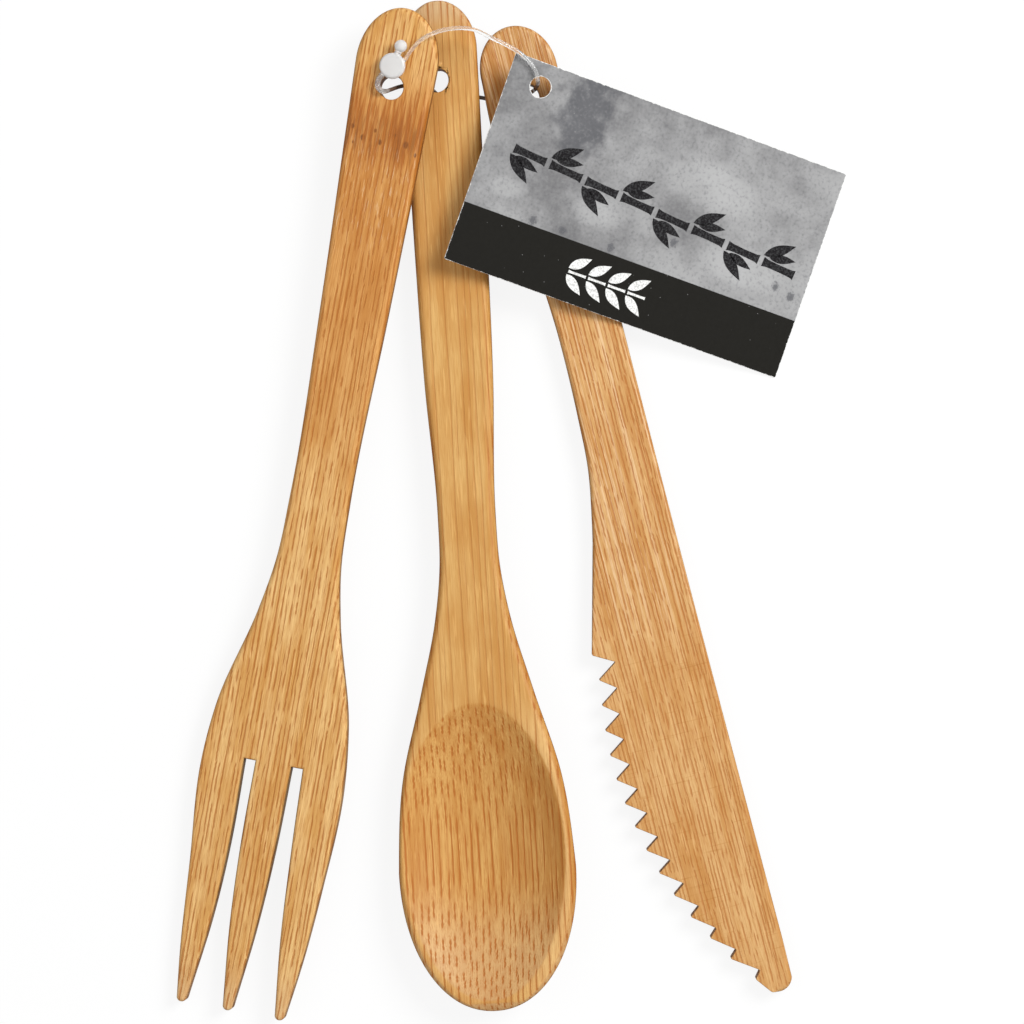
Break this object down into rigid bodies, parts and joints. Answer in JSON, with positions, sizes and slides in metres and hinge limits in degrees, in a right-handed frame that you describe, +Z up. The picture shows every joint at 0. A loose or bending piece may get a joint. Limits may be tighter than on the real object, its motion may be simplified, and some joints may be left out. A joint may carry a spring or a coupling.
{
  "type": "bamboo cutlery pack",
  "caption": "Fork, spoon and saw-edged knife cut from bamboo, strung with a blank card tag on one moulded nylon snap loop.",
  "frame": {"origin": "centre of the pack's footprint, on the table it lies on", "axes": "+Z up from the table, +Y along the pack towards the handle ends, +X to the right across the pack, fork on the left"},
  "size_m": [0.1332, 0.2022, 0.0145],
  "materials": {
    "bamboo": "sanded, lightly oiled",
    "card": "uncoated board, stands for printed card",
    "nylon": "translucent white moulded nylon"
  },
  "bodies": {
    "spoon_and_loop": {"spoon": "bamboo", "loop_fastener": "nylon"},
    "fork": {"fork": "bamboo"},
    "knife": {"knife": "bamboo"},
    "tag": {"swing_tag": "card"}
  },
  "joints": [
    {"name": "fork_swing", "type": "hinge", "parent": "spoon_and_loop", "child": "fork", "pos_m": [-0.02334, 0.0833, 0.00667], "axis": [0, 0, 1], "range_deg": [-25, 4]},
    {"name": "knife_swing", "type": "hinge", "parent": "spoon_and_loop", "child": "knife", "pos_m": [0.00306, 0.0821, 0.0011], "axis": [0, 0, 1], "range_deg": [-5, 1.5]},
    {"name": "tag_swing", "type": "hinge", "parent": "spoon_and_loop", "child": "tag", "pos_m": [0.00556, 0.0833, 0.01055], "axis": [0, 0, 1], "range_deg": [-2, 20]}
  ]
}
